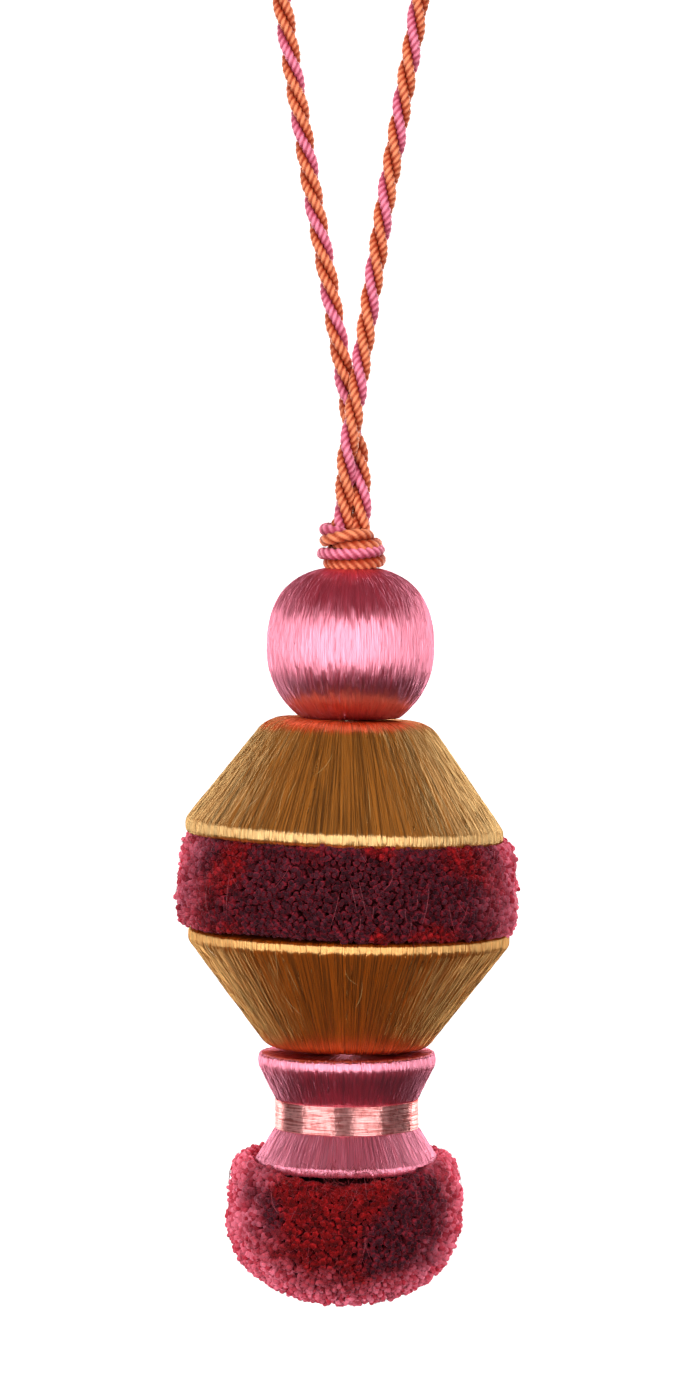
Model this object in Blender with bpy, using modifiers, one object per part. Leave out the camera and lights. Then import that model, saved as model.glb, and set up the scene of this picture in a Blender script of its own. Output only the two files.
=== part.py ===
"""Hanging tassel: a three-ply cord loop, knotted above a stack of turned moulds covered in
satin thread, with a band of cut pile round the middle and a cut-pile pompom below.

Millimetres in the tables, metres in the scene. +Z is up and the front faces -Y. The origin is
the underside of the top of the loop, where a hook or a peg bears.
"""

import math
import random

import bmesh
import bpy
import numpy as np

MM = 0.001

# The cord: three plies laid together, two orange and one pink.
PLY_COUNT = 3
LAY_LENGTH = 15.3  # one whole turn of a ply round the cord
STEPS_PER_LAY = 8
PLY_PROFILE = ((0, 1.20), (38, 1.67), (82, 1.67))  # degrees from a groove, radius

# The two legs of the hanging loop, from the knot up. The first leg stands at the middle plus
# half the spread in the direction of the turn, and the second stands opposite. Between 84 and
# 115 mm below the origin they cross, the right one in front.
# Columns: height, middle of the two in x, half of their spread, turn in degrees.
LEGS = (
    (-116.0, 0.75, 1.76, 0),
    (-111.1, 0.85, 1.78, 15),
    (-107.5, 0.82, 1.78, 38),
    (-103.9, 0.75, 1.78, 60),
    (-100.3, 0.60, 1.78, 88),
    (-94.9, 0.62, 1.78, 114),
    (-91.3, 0.60, 1.78, 138),
    (-87.7, 0.55, 1.88, 164),
    (-83.2, 0.50, 2.56, 180),
    (-76.9, 0.43, 3.52, 180),
    (-67.9, 0.35, 5.00, 180),
    (-58.9, 0.20, 6.50, 180),
    (-49.9, 0.28, 8.02, 180),
    (-40.9, 0.30, 9.50, 180),
    (-31.9, 0.39, 11.01, 180),
    (-22.9, 0.40, 12.37, 180),
    (-12.5, 0.30, 13.20, 180),
    (-5.3, 0.20, 11.60, 180),
    (-0.4, 0.10, 6.90, 180),
)
LOOP_TOP = 1.72  # the cord's middle at the top, so that its underside is at the origin

# The knot: two wraps of the cord, pulled tight, on the yarn that they squeeze together.
# Columns: turn in degrees seen from above, counted from +X through the back, the height of
# the cord's middle, and its distance from the knot's own axis.
KNOT_WRAPS = (
    (75, -117.9, 4.6),
    (180, -118.2, 4.9),
    (270, -119.3, 4.5),
    (360, -120.0, 3.7),
    (435, -120.9, 4.4),
    (540, -122.8, 4.7),
    (630, -123.3, 4.8),
    (720, -122.8, 5.1),
    (770, -122.9, 4.8),
)
KNOT_X = 0.45
KNOT_STEPS = 44
KNOT_CORD_SIZE = 0.87  # the pulled cord's thickness, as a share of the free cord's
KNOT_CORE = {"x": KNOT_X, "z": -120.7, "tilt": 0.0, "corners": ((4.2, 3.6, 1.4), (4.2, -3.6, 1.2))}

# The moulds, from the top down. "x" and "z" place a mould's middle, and "tilt" is how far its
# right side hangs low, in degrees. Each corner is (radius, height from the middle, fillet).
BALL_RADIUS = 15.0
BALL_SQUARENESS = 2.5  # exponent of the upper half, which is fuller than a circle
BALL_FOOT = -11.8  # where the underside is cut flat
BALL = {"x": 0.35, "z": -139.85, "tilt": 0.0}
UPPER_CONE = {
    "x": -0.4,
    "z": -163.5,
    "tilt": 2.4,
    "corners": (
        (14.5, 11.1, 6.0),
        (28.35, -6.9, 5.0),
        (28.35, -10.2, 1.6),
    ),
}
LOWER_CONE = {
    "x": -0.15,
    "z": -201.5,
    "tilt": 1.2,
    "corners": (
        (28.9, 10.25, 0.9),
        (28.9, 8.5, 2.0),
        (14.36, -10.25, 3.5),
    ),
}
SPOOL = {
    "x": -0.3,
    "z": -222.8,
    "tilt": 0.0,
    "corners": (
        (16.1, 10.4, 0.9),
        (16.1, 7.4, 3.0),
        (13.0, 2.3, 0.0),
        (11.7, 2.1, 0.0),
        (11.7, -3.5, 0.0),
        (13.2, -3.8, 0.0),
        (16.4, -9.5, 0.8),
        (16.4, -10.4, 0.5),
    ),
}
BINDING = {"x": -0.3, "z": -223.5, "tilt": 0.0, "inner": 12.0, "outer": 13.1, "height": 5.0, "edge": 0.35}

# The cut pile. Locks of yarn stand on a core, in rows that go down its outline.
BAND = {"x": -0.1, "z": -182.5, "tilt": 1.8, "radius": 29.1, "height": 16.0, "fillet": 2.4}
BAND_ROW_HEIGHTS = (4.8, 0.2, -4.3)
BAND_LOCKS_PER_ROW = 30
POMPOM = {"x": -0.8, "z": -240.3, "tilt": 0.0, "radius": 19.6, "depth": 16.0, "shoulder": 6.7}
POMPOM_SQUARENESS = 2.25  # exponent of its lower half, which is fuller than an ellipse
POMPOM_ROWS = 6
LOCK_PITCH = 6.0
LOCK_ROOT_WIDTH = 5.0
LOCK_TIP_WIDTH = 3.3
LOCK_SIDES = 4
LOCK_ROOT_DEPTH = 0.5  # how far a lock starts inside its core
LOCK_LENGTHS = (1.4, 2.1)  # shortest and longest, outside the core
LOCK_STRAY = 0.12  # how far a lock strays from its even place, as a share of the pitch
LOCK_SPIN = 0.5  # how far a lock is turned on itself, in radians
PILE_SEED = 7

MOULD_STEPS = 40
CORE_STEPS = 24
FILLET_STEP = 24.0  # degrees of a fillet for each of its straight pieces

ORANGE = (0.62, 0.17, 0.05)
PINK = (0.72, 0.16, 0.27)
GOLD = (0.38, 0.17, 0.035)
ROSE = (0.55, 0.28, 0.26)
BURGUNDY = (0.11, 0.010, 0.018)


def clear_scene():
    """Removes whatever the scene starts with."""
    for obj in list(bpy.data.objects):
        bpy.data.objects.remove(obj)


def collection(name):
    made = bpy.data.collections.new(name)
    bpy.context.scene.collection.children.link(made)
    return made


def finish(name, colour, roughness, metallic=0.0):
    """A Principled material of one colour."""
    made = bpy.data.materials.new(name)
    made.use_nodes = True
    shader = made.node_tree.nodes["Principled BSDF"]
    shader.inputs["Base Color"].default_value = (*colour, 1.0)
    shader.inputs["Roughness"].default_value = roughness
    shader.inputs["Metallic"].default_value = metallic
    return made


def cubic_through(knots, values, wanted):
    """A natural cubic spline through the values at the knots, read at the wanted places."""
    gaps = np.diff(knots)
    slopes = np.diff(values, axis=0) / gaps[:, None]
    size = len(knots)
    system = np.eye(size)
    target = np.zeros_like(values)
    for i in range(1, size - 1):
        system[i, i - 1 : i + 2] = gaps[i - 1], 2 * (gaps[i - 1] + gaps[i]), gaps[i]
        target[i] = 6 * (slopes[i] - slopes[i - 1])
    bend = np.linalg.solve(system, target)
    span = np.clip(np.searchsorted(knots, wanted, side="right") - 1, 0, size - 2)
    gap = gaps[span][:, None]
    before = (knots[span + 1] - wanted)[:, None] / gap
    after = 1 - before
    straight = before * values[span] + after * values[span + 1]
    curved = (before**3 - before) * bend[span] + (after**3 - after) * bend[span + 1]
    return straight + curved * gap**2 / 6


def smooth_line(route, spacing):
    """Points a spacing apart on one smooth curve through the route's own points."""
    route = np.array(route, float)
    along = np.concatenate([[0], np.cumsum(np.linalg.norm(np.diff(route, axis=0), axis=1))])
    fine = cubic_through(along, route, np.linspace(0, along[-1], 2000))
    length = np.concatenate([[0], np.cumsum(np.linalg.norm(np.diff(fine, axis=0), axis=1))])
    even = np.linspace(0, length[-1], round(length[-1] / spacing) + 1)
    return np.stack([np.interp(even, length, fine[:, axis]) for axis in range(3)], axis=1)


def ply_profile(name, size, guides):
    """The cord's cross-section, as a closed curve with one lobe for each ply."""
    points = []
    for ply in range(PLY_COUNT):
        for degrees, radius in PLY_PROFILE:
            angle = -math.radians(degrees + ply * 360 / PLY_COUNT)
            reach = radius * size * MM
            points.append((reach * math.cos(angle), reach * math.sin(angle)))
    curve = bpy.data.curves.new(name, "CURVE")
    curve.dimensions = "2D"
    spline = curve.splines.new("POLY")
    spline.points.add(len(points) - 1)
    for point, (x, y) in zip(spline.points, points, strict=True):
        point.co = (x, y, 0, 1)
    spline.use_cyclic_u = True
    obj = bpy.data.objects.new(name, curve)
    obj.hide_render = True
    obj.display_type = "WIRE"
    guides.objects.link(obj)
    return obj


def laid_cord(name, line, profile, material, parts):
    """The cord along a line: its lobed section turns once in each lay length."""
    curve = bpy.data.curves.new(name, "CURVE")
    curve.dimensions = "3D"
    curve.twist_mode = "MINIMUM"
    curve.bevel_mode = "OBJECT"
    curve.bevel_object = profile
    curve.use_fill_caps = True
    spline = curve.splines.new("POLY")
    spline.points.add(len(line) - 1)
    spline.use_smooth = True
    step = np.linalg.norm(line[1] - line[0])
    for i, (point, place) in enumerate(zip(spline.points, line, strict=True)):
        point.co = (*(place * MM), 1)
        point.tilt = math.tau * i * step / LAY_LENGTH
    curve.materials.append(material)
    obj = bpy.data.objects.new(name, curve)
    parts.objects.link(obj)
    return obj


def loop_route():
    """Up the leg that ends on the right, over the top and down the other leg."""
    height, middle, half, turn = np.array(LEGS, float).T
    across = half * np.cos(np.radians(turn))
    towards = half * np.sin(np.radians(turn))
    up = np.stack([middle + across, towards, height], axis=1)
    down = np.stack([middle - across, -towards, height], axis=1)[::-1]
    return np.concatenate([up, [(0.0, 0.0, LOOP_TOP)], down])


def knot_line():
    """The middle of the cord round the knot: a helix whose height and radius follow the table."""
    table = np.array(KNOT_WRAPS, float)
    degrees = np.linspace(table[0, 0], table[-1, 0], KNOT_STEPS + 1)
    height, radius = cubic_through(table[:, 0], table[:, 1:], degrees).T
    angles = np.radians(degrees)
    return np.stack([KNOT_X + radius * np.cos(angles), radius * np.sin(angles), height], axis=1)


def fillet_points(before, corner, after, radius):
    """The arc that rounds a corner, from the side before it to the side after it."""
    before, corner, after = (np.array(p, float) for p in (before, corner, after))
    into = (corner - before) / np.linalg.norm(corner - before)
    out = (after - corner) / np.linalg.norm(after - corner)
    turn = math.acos(max(-1.0, min(1.0, float(into @ out))))
    if radius == 0 or turn < 0.01:
        return [tuple(corner)]
    start = corner - into * radius * math.tan(turn / 2)
    inward = np.array((into[1], -into[0]))
    if inward @ out < 0:
        inward = -inward
    centre = start + inward * radius
    pieces = max(1, round(math.degrees(turn) / FILLET_STEP))
    angles = np.linspace(0, turn, pieces + 1)
    return [tuple(centre - inward * radius * math.cos(a) + into * radius * math.sin(a)) for a in angles]


def rounded_outline(corners):
    """A turned outline from the top of the axis to its foot, with every corner filleted."""
    top = (0.0, corners[0][1])
    foot = (0.0, corners[-1][1])
    stops = [top, *[corner[:2] for corner in corners], foot]
    outline = [top]
    for i, (_, _, radius) in enumerate(corners, start=1):
        outline += fillet_points(stops[i - 1], stops[i], stops[i + 1], radius)
    return [*outline, foot]


def ball_outline():
    """Upper half: a superellipse. Lower half: a circle, cut flat at the foot."""
    outline = [(0.0, BALL_RADIUS)]
    for share in np.linspace(0.3, 1.0, 7):
        radius = BALL_RADIUS * share
        height = BALL_RADIUS * (1 - share**BALL_SQUARENESS) ** (1 / BALL_SQUARENESS)
        outline.append((radius, height))
    foot_angle = math.asin(-BALL_FOOT / BALL_RADIUS)
    for angle in np.linspace(0, foot_angle, 6)[1:]:
        outline.append((BALL_RADIUS * math.cos(angle), -BALL_RADIUS * math.sin(angle)))
    return [*outline, (0.0, BALL_FOOT)]


def band_outline():
    """The core of the pile band: a drum with rounded edges."""
    half = BAND["height"] / 2
    radius = BAND["radius"]
    return rounded_outline(((radius, half, BAND["fillet"]), (radius, -half, BAND["fillet"])))


def pompom_outline():
    """The core of the pompom: a flat top, a rounded shoulder and half a superellipse below."""
    radius, depth, shoulder = POMPOM["radius"], POMPOM["depth"], POMPOM["shoulder"]
    power = 2 / POMPOM_SQUARENESS
    top = rounded_outline(((radius - 0.9, shoulder, 2.2), (radius, 0.0, 0.0)))[:-1]
    bowl = [
        (radius * math.cos(angle) ** power, -depth * math.sin(angle) ** power)
        for angle in np.radians(np.linspace(0, 90, 9))[1:-1]
    ]
    return [*top, *bowl, (0.0, -depth)]


def place(obj, mould):
    obj.location = (mould["x"] * MM, 0.0, mould["z"] * MM)
    obj.rotation_euler = (0.0, math.radians(mould["tilt"]), 0.0)


def turned(name, outline, mould, steps, material, parts):
    """A turned mould: its outline, top to bottom, carried round Z by a Screw modifier."""
    mesh = bpy.data.meshes.new(name)
    points = [(radius * MM, 0.0, height * MM) for radius, height in outline]
    mesh.from_pydata(points, [(i, i + 1) for i in range(len(points) - 1)], [])
    obj = bpy.data.objects.new(name, mesh)
    parts.objects.link(obj)
    screw = obj.modifiers.new("turn", "SCREW")
    screw.axis = "Z"
    screw.angle = math.tau
    screw.steps = steps
    screw.render_steps = steps
    screw.use_merge_vertices = True
    screw.merge_threshold = 0.00001
    screw.use_smooth_shade = True
    mesh.materials.append(material)
    place(obj, mould)
    return obj


def ring_outline(sizes):
    """The closed outline of a ring round the axis, with its two outer edges taken off."""
    half = sizes["height"] / 2
    inner, outer, edge = sizes["inner"], sizes["outer"], sizes["edge"]
    return (
        (inner, half),
        (outer - edge, half),
        (outer, half - edge),
        (outer, edge - half),
        (outer - edge, -half),
        (inner, -half),
        (inner, half),
    )


def tied_knot(material, parts, guides):
    """The wraps, joined to the yarn that they pull together under them."""
    profile = ply_profile("knot_ply_profile", KNOT_CORD_SIZE, guides)
    wraps = laid_cord("knot_wraps", knot_line(), profile, material, guides)
    bpy.context.view_layer.update()
    evaluated = wraps.evaluated_get(bpy.context.evaluated_depsgraph_get())
    data = bpy.data.meshes.new_from_object(evaluated)
    bpy.data.objects.remove(wraps)
    mesh = bmesh.new()
    mesh.from_mesh(data)
    bmesh.ops.remove_doubles(mesh, verts=mesh.verts, dist=0.000001)
    bmesh.ops.recalc_face_normals(mesh, faces=mesh.faces)
    mesh.to_mesh(data)
    mesh.free()
    wraps = bpy.data.objects.new("knot_wraps", data)
    guides.objects.link(wraps)
    wraps.hide_render = True
    wraps.display_type = "WIRE"
    core = rounded_outline(KNOT_CORE["corners"])
    knot = turned("knot", core, KNOT_CORE, CORE_STEPS, material, parts)
    join = knot.modifiers.new("wraps", "BOOLEAN")
    join.operation = "UNION"
    join.solver = "EXACT"
    join.use_self = True
    join.object = wraps


def outline_places(outline, count):
    """Evenly spaced (radius, height, outward direction) down the side of a core's outline."""
    side = np.array([point for point in outline if point[0] > 0], float)
    side = np.concatenate([side, [outline[-1]]])
    steps = np.linalg.norm(np.diff(side, axis=0), axis=1)
    along = np.concatenate([[0], np.cumsum(steps)])
    spacing = along[-1] / count
    wanted = spacing * (np.arange(count) + 0.5)
    radii = np.interp(wanted, along, side[:, 0])
    heights = np.interp(wanted, along, side[:, 1])
    ahead = np.interp(wanted + 0.1, along, side[:, 0]) - np.interp(wanted - 0.1, along, side[:, 0])
    down = np.interp(wanted + 0.1, along, side[:, 1]) - np.interp(wanted - 0.1, along, side[:, 1])
    size = np.hypot(ahead, down)
    return [
        (r, z, (-dz / s, dr / s))
        for r, z, dr, dz, s in zip(radii, heights, ahead, down, size, strict=True)
    ]


def add_lock(mesh, radius, height, outward, angle, length, spin):
    """One lock of yarn: a short four-sided post that narrows to its cut end."""
    out = np.array((outward[0] * math.cos(angle), outward[0] * math.sin(angle), outward[1]))
    foot = np.array((radius * math.cos(angle), radius * math.sin(angle), height))
    side = np.array((-math.sin(angle), math.cos(angle), 0.0))
    along = np.cross(out, side)
    rings = []
    for reach, width in ((-LOCK_ROOT_DEPTH, LOCK_ROOT_WIDTH), (length, LOCK_TIP_WIDTH)):
        ring = []
        for corner in range(LOCK_SIDES):
            turn = spin + math.tau * (corner + 0.5) / LOCK_SIDES
            across = side * math.cos(turn) + along * math.sin(turn)
            ring.append(mesh.verts.new((foot + out * reach + across * width / math.sqrt(2)) * MM))
        rings.append(ring)
    for corner in range(LOCK_SIDES):
        after = (corner + 1) % LOCK_SIDES
        mesh.faces.new((rings[0][corner], rings[0][after], rings[1][after], rings[1][corner]))
    mesh.faces.new(rings[0][::-1])
    mesh.faces.new(rings[1])


def piled(name, outline, mould, rows, material, parts, cutters, dice):
    """A core with its locks fused on at their roots. Each row is (radius, height, outward, count)."""
    core = turned(name, outline, mould, CORE_STEPS, material, parts)
    core.modifiers["turn"].use_smooth_shade = False
    mesh = bmesh.new()
    for row, (radius, height, outward, count) in enumerate(rows):
        for i in range(count):
            angle = math.tau * (i + 0.5 * (row % 2) + dice.uniform(-LOCK_STRAY, LOCK_STRAY)) / count
            slide = LOCK_PITCH * dice.uniform(-LOCK_STRAY, LOCK_STRAY)
            add_lock(
                mesh,
                radius + slide * outward[1],
                height - slide * outward[0],
                outward,
                angle,
                dice.uniform(*LOCK_LENGTHS),
                dice.uniform(-LOCK_SPIN, LOCK_SPIN),
            )
    bmesh.ops.recalc_face_normals(mesh, faces=mesh.faces)
    data = bpy.data.meshes.new(name + "_locks")
    mesh.to_mesh(data)
    mesh.free()
    locks = bpy.data.objects.new(name + "_locks", data)
    cutters.objects.link(locks)
    place(locks, mould)
    locks.hide_render = True
    locks.display_type = "WIRE"
    join = core.modifiers.new("locks", "BOOLEAN")
    join.operation = "UNION"
    join.solver = "EXACT"
    join.use_self = True
    join.object = locks
    return core


def band_rows():
    outward = (1.0, 0.0)
    return [(BAND["radius"], height, outward, BAND_LOCKS_PER_ROW) for height in BAND_ROW_HEIGHTS]


def pompom_rows():
    """Rows from the shoulder to the foot, each with as many locks as fit round it."""
    outline = [point for point in pompom_outline() if point[0] > POMPOM["radius"] * 0.86 or point[1] < 0]
    rows = []
    for radius, height, outward in outline_places(outline, POMPOM_ROWS):
        count = max(3, math.floor(math.tau * (radius + 1.0) / LOCK_PITCH))
        rows.append((radius, height, outward, count))
    return rows


def main():
    clear_scene()
    parts = collection("tassel")
    guides = collection("guides")
    cord = finish("cord_orange_and_pink", ORANGE, 0.6)
    pink = finish("satin_pink", PINK, 0.4)
    gold = finish("satin_gold", GOLD, 0.4)
    rose = finish("satin_rose", ROSE, 0.35)
    pile = finish("pile_burgundy", BURGUNDY, 0.9)
    profile = ply_profile("ply_profile", 1.0, guides)
    line = smooth_line(loop_route(), LAY_LENGTH / STEPS_PER_LAY)
    laid_cord("hanging_loop", line, profile, cord, parts)
    tied_knot(cord, parts, guides)
    turned("ball", ball_outline(), BALL, MOULD_STEPS, pink, parts)
    for name, mould, material in (
        ("upper_cone", UPPER_CONE, gold),
        ("lower_cone", LOWER_CONE, gold),
        ("spool", SPOOL, pink),
    ):
        turned(name, rounded_outline(mould["corners"]), mould, MOULD_STEPS, material, parts)
    turned("waist_binding", ring_outline(BINDING), BINDING, MOULD_STEPS, rose, parts)
    dice = random.Random(PILE_SEED)
    piled("pile_band", band_outline(), BAND, band_rows(), pile, parts, guides, dice)
    piled("pompom", pompom_outline(), POMPOM, pompom_rows(), pile, parts, guides, dice)


main()
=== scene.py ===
# %% [markdown]
# # A hanging tassel
# This file dresses a plain imported model of a tassel in its cord, threads and cut pile.
# The imported model comes in first and stays fixed. Most pieces made here take the place of one of
# its nodes.

# %% The imported model
import math

import bpy
import numpy as np
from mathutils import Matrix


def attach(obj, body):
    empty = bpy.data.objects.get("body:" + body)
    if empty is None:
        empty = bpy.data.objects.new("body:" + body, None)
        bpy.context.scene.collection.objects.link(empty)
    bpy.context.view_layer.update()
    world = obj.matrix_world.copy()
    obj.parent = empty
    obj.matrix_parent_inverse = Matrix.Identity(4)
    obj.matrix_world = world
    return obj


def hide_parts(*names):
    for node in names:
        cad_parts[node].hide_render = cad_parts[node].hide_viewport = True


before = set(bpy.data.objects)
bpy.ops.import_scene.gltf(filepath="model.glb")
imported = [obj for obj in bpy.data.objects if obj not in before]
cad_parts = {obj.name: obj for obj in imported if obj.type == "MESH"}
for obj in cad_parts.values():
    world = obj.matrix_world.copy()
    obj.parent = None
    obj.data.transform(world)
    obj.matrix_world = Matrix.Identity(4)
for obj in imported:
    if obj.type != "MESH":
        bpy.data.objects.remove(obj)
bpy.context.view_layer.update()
print("nodes:", ", ".join(sorted(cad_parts)))

# %% [markdown]
# ## The camera
# The photograph was taken from slightly above the level of the tassel, with a long lens. A camera
# 0.9 m away that sees 252 mm of height gives the same picture. Its aim is the point of the tassel
# that lies in the middle of the picture.

# %% The camera
MM = 0.001
CAMERA_DISTANCE = 0.9
CAMERA_ELEVATION = math.radians(2.5)
PICTURE_HEIGHT = 0.252
PICTURE_MIDDLE_X = -0.1 * MM
PICTURE_MIDDLE_Z = -148.9 * MM
SENSOR = 36.0

camera_data = bpy.data.cameras.new("camera")
camera_data.sensor_fit = "VERTICAL"
camera_data.sensor_height = SENSOR
camera_data.lens = SENSOR * CAMERA_DISTANCE / PICTURE_HEIGHT
camera = bpy.data.objects.new("camera", camera_data)
camera.location = (
    PICTURE_MIDDLE_X,
    -CAMERA_DISTANCE * math.cos(CAMERA_ELEVATION),
    PICTURE_MIDDLE_Z + CAMERA_DISTANCE * math.sin(CAMERA_ELEVATION),
)
camera.rotation_euler = (math.pi / 2 - CAMERA_ELEVATION, 0.0, 0.0)
bpy.context.scene.collection.objects.link(camera)
bpy.context.scene.camera = camera
print("lens", round(camera_data.lens, 1), "mm")

# %% [markdown]
# ## Shader maths as plain expressions
# A material is a graph of nodes. Written out link by link it is hard to read, so one small class
# stands for a node's output and turns +, -, * and / into Math nodes. A second class holds the
# material itself and has one method that adds any other node.


# %% Helpers for materials
class Number:
    """A number that varies over a surface. Sums and products of it add Math nodes."""

    def __init__(self, finish, socket):
        self.finish = finish
        self.socket = socket

    def _maths(self, operation, *values):
        return self.finish.node("ShaderNodeMath", {"operation": operation}, dict(enumerate(values)))

    def __add__(self, other):
        return self._maths("ADD", self, other)

    def __sub__(self, other):
        return self._maths("SUBTRACT", self, other)

    def __rsub__(self, other):
        return self._maths("SUBTRACT", other, self)

    def __mul__(self, other):
        return self._maths("MULTIPLY", self, other)

    def __truediv__(self, other):
        return self._maths("DIVIDE", self, other)

    __radd__ = __add__
    __rmul__ = __mul__


class Finish:
    """A material with one Principled shader, and a way to add and link its nodes."""

    def __init__(self, name):
        self.material = bpy.data.materials.new(name)
        self.material.use_nodes = True
        self.tree = self.material.node_tree
        self.shader = self.tree.nodes["Principled BSDF"]

    def plug(self, socket, value):
        if isinstance(value, Number):
            self.tree.links.new(value.socket, socket)
        else:
            socket.default_value = value

    def node(self, kind, settings=None, sockets=None, output=0):
        """Adds a node: its settings first, then the values or links of its sockets."""
        node = self.tree.nodes.new(kind)
        for name, value in (settings or {}).items():
            setattr(node, name, value)
        for name, value in (sockets or {}).items():
            self.plug(node.inputs[name], value)
        return Number(self, node.outputs[output])

    def set(self, **values):
        """Sets or links the shader's own sockets: Base_Color=..., Roughness=..."""
        for name, value in values.items():
            self.plug(self.shader.inputs[name.replace("_", " ")], value)

    def place(self):
        """Where a point lies on the tassel, in metres."""
        return self.node("ShaderNodeTexCoord", output=3)

    def part_of(self, place):
        """The three parts of a vector, as numbers."""
        split = self.node("ShaderNodeSeparateXYZ", {}, {0: place})
        outputs = split.socket.node.outputs
        return [Number(self, outputs[i]) for i in range(3)]

    def vector(self, x, y, z):
        return self.node("ShaderNodeCombineXYZ", {}, {0: x, 1: y, 2: z})

    def noise(self, vector, scale, detail=2.0, roughness=0.5):
        sockets = {"Vector": vector, "Scale": scale, "Detail": detail, "Roughness": roughness}
        return self.node("ShaderNodeTexNoise", {}, sockets)

    def ease(self, value, low, high):
        """0 below low, 1 above high, and a smooth step between."""
        settings = {"interpolation_type": "SMOOTHSTEP"}
        return self.node("ShaderNodeMapRange", settings, {0: value, 1: low, 2: high})

    def blend(self, share, first, second):
        """The first colour where the share is 0, the second where it is 1."""
        colours = [c if isinstance(c, Number) else (*c, 1.0) for c in (first, second)]
        sockets = {0: share, 6: colours[0], 7: colours[1]}
        return self.node("ShaderNodeMix", {"data_type": "RGBA"}, sockets, output=2)

    def attribute(self, name):
        return self.node("ShaderNodeAttribute", {"attribute_name": name}, {}, output=2)

    def velvet(self, colour, direction, uneven, low, high, most):
        """The sheen of a pile: mixes in a matt colour where the eye looks across the direction
        in which its fibres stand, and so sees their lit sides instead of their ends. The uneven
        number moves the place where that starts."""
        upright = self.node("ShaderNodeVectorMath", {"operation": "NORMALIZE"}, {0: direction})
        facing = self.node("ShaderNodeLayerWeight", {}, {"Normal": upright}, output=1)
        share = self.ease(facing + uneven, low, high) * most
        matt = self.node("ShaderNodeBsdfDiffuse", {}, {"Color": colour, "Roughness": 1.0})
        mix = self.node("ShaderNodeMixShader", {}, {0: share, 2: matt})
        self.tree.links.new(self.shader.outputs[0], mix.socket.node.inputs[1])
        self.tree.links.new(mix.socket, self.tree.nodes["Material Output"].inputs["Surface"])

    def bump(self, height, distance, strength=1.0):
        sockets = {"Height": height, "Distance": distance, "Strength": strength}
        self.set(Normal=self.node("ShaderNodeBump", {}, sockets))


# %% [markdown]
# ## Surfaces on grids
# Every piece is a surface with two parameters: so many rows and so many columns of points, worked
# out at once as numpy arrays. These helpers turn such a grid into a mesh. Faces are listed so that
# they point outwards, and a turned shape is closed by one point on the axis at each end.


# %% Helpers for meshes
def grid_quads(rows, columns, outward_rows=True):
    """The four-sided faces of a grid whose last column meets its first one again."""
    row, column = np.meshgrid(np.arange(rows - 1), np.arange(columns), indexing="ij")
    after = (column + 1) % columns
    corners = [row * columns + column, (row + 1) * columns + column]
    corners += [(row + 1) * columns + after, row * columns + after]
    quads = np.stack(corners, axis=-1).reshape(-1, 4)
    return quads if outward_rows else quads[:, ::-1]


def end_fan(ring, point, forward):
    """Triangles from each pair of neighbours in a ring of point numbers to one end point."""
    after = np.roll(ring, -1)
    fan = np.stack([ring, after, np.full(len(ring), point)], axis=1)
    return fan if forward else fan[:, ::-1]


def new_piece(name, points, quads, triangles=None, values=None):
    """A mesh object from arrays: points in metres, faces by point number, values by point."""
    triangles = np.empty((0, 3), int) if triangles is None else triangles
    mesh = bpy.data.meshes.new(name)
    mesh.vertices.add(len(points))
    mesh.vertices.foreach_set("co", np.ascontiguousarray(points, np.float32).ravel())
    corners = np.concatenate([quads.ravel(), triangles.ravel()])
    mesh.loops.add(len(corners))
    mesh.loops.foreach_set("vertex_index", corners.astype(np.int32))
    starts = np.concatenate([np.arange(len(quads)) * 4, quads.size + np.arange(len(triangles)) * 3])
    mesh.polygons.add(len(starts))
    mesh.polygons.foreach_set("loop_start", starts.astype(np.int32))
    mesh.update(calc_edges=True)
    mesh.shade_smooth()
    for key, value in (values or {}).items():
        layer = mesh.attributes.new(key, "FLOAT", "POINT")
        layer.data.foreach_set("value", np.asarray(value, np.float32).ravel())
    made = bpy.data.objects.new(name, mesh)
    bpy.context.scene.collection.objects.link(made)
    print(name, len(quads) * 2 + len(triangles), "triangles")
    return made


def dress(piece, finish, slot, *nodes):
    """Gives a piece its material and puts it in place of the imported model's nodes."""
    piece.data.materials.append(finish.material)
    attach(piece, "root")
    if nodes:
        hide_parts(*nodes)


# %% [markdown]
# ## The hanging loop
# A laid cord is three plies twisted together, and each ply is itself a few yarns twisted the
# other way, which keeps the cord from opening. Seen from the side the plies slant one way and the
# yarns in them the other. Two plies are orange and one is pink, so a pink stripe winds down the
# cord. A texture could draw this on a plain tube, but the outline would stay smooth, so each ply is
# a tube of its own on a helix, and its yarns are ridges on that tube.
#
# The route is the same as in the solid model: up from the ball, round the top and down again,
# with one leg passing in front of the other above the knot.

# %% The route of the cord
# Columns: height, middle of the two legs in x, half of their spread, turn in degrees.
LEGS = (
    (-124.4, 0.50, 1.60, 0),
    (-120.0, 0.60, 1.60, 0),
    (-116.0, 0.75, 1.55, 0),
    (-111.1, 0.85, 1.54, 15),
    (-107.5, 0.82, 1.60, 38),
    (-103.9, 0.75, 1.78, 60),
    (-100.3, 0.60, 1.78, 88),
    (-94.9, 0.62, 1.78, 114),
    (-91.3, 0.60, 1.78, 138),
    (-87.7, 0.55, 1.88, 164),
    (-83.2, 0.50, 2.56, 180),
    (-76.9, 0.43, 3.52, 180),
    (-67.9, 0.35, 5.00, 180),
    (-58.9, 0.20, 6.50, 180),
    (-49.9, 0.28, 8.02, 180),
    (-40.9, 0.30, 9.50, 180),
    (-31.9, 0.39, 11.01, 180),
    (-22.9, 0.40, 12.37, 180),
    (-12.5, 0.30, 13.20, 180),
    (-5.3, 0.20, 11.60, 180),
    (-0.4, 0.10, 6.90, 180),
)
LOOP_TOP = 1.72
LAY_LENGTH = 15.3
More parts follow.
